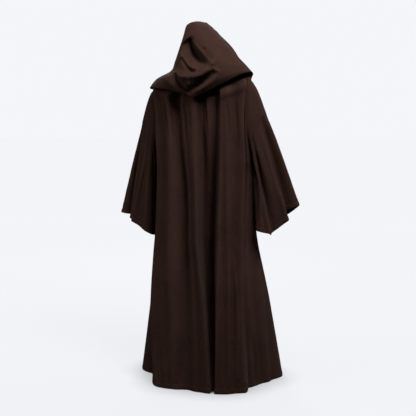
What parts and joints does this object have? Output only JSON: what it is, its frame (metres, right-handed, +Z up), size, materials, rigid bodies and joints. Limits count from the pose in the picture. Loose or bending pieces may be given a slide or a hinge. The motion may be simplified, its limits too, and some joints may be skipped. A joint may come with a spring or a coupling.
{
  "type": "hooded cloak",
  "caption": "Floor-length dark brown hooded cloak with wide bell sleeves, open down the front, in the hollow shape it takes when worn.",
  "frame": {"origin": "between the shoulders at the base of the neck, where the cloak is held up when worn", "axes": "+Z up along the cloak's height, -Y to its front, +X to its left as worn"},
  "size_m": [0.979, 0.5855, 1.8213],
  "materials": {
    "cloth": "matt, soft nap, dark warm brown"
  },
  "bodies": {
    "root": {"back": "cloth", "front_left": "cloth", "front_right": "cloth", "sleeve_left": "cloth", "sleeve_right": "cloth", "hood_left": "cloth", "hood_right": "cloth"}
  },
  "joints": []
}
